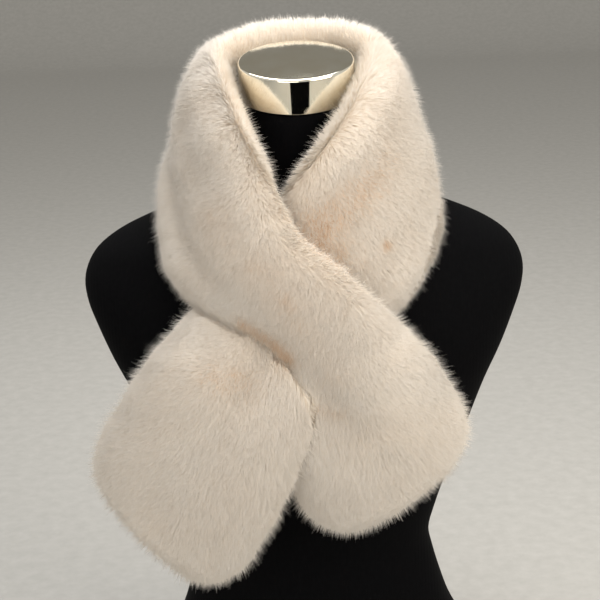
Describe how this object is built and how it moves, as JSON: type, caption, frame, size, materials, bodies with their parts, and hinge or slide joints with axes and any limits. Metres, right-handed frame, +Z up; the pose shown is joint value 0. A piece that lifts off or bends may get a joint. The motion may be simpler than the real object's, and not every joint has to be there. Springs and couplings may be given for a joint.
{
  "type": "fur collar wrap on a dress form",
  "caption": "Pull-through faux-fur neck wrap, one tail drawn through a slit in the other half, worn on a small limbless dress form with a polished neck cap.",
  "frame": {"origin": "centre of the dress form's flat foot", "axes": "+Z up; the form's front faces -Y; +X is to the right as seen from the front"},
  "size_m": [0.398, 0.2954, 0.6498],
  "materials": {
    "fur": "ivory faux fur, plush pile of about 15 mm on both faces",
    "jersey": "matte black stretch jersey drawn tight over the form",
    "cap_metal": "mirror-polished plate with a warm champagne tint"
  },
  "bodies": {
    "root": {"form_body": "jersey", "neck_cap": "cap_metal", "right_tail": "fur", "crossing_band": "fur", "left_collar": "fur", "neck_back": "fur", "right_collar": "fur", "left_tail": "fur", "slit_strap": "fur"}
  },
  "joints": []
}
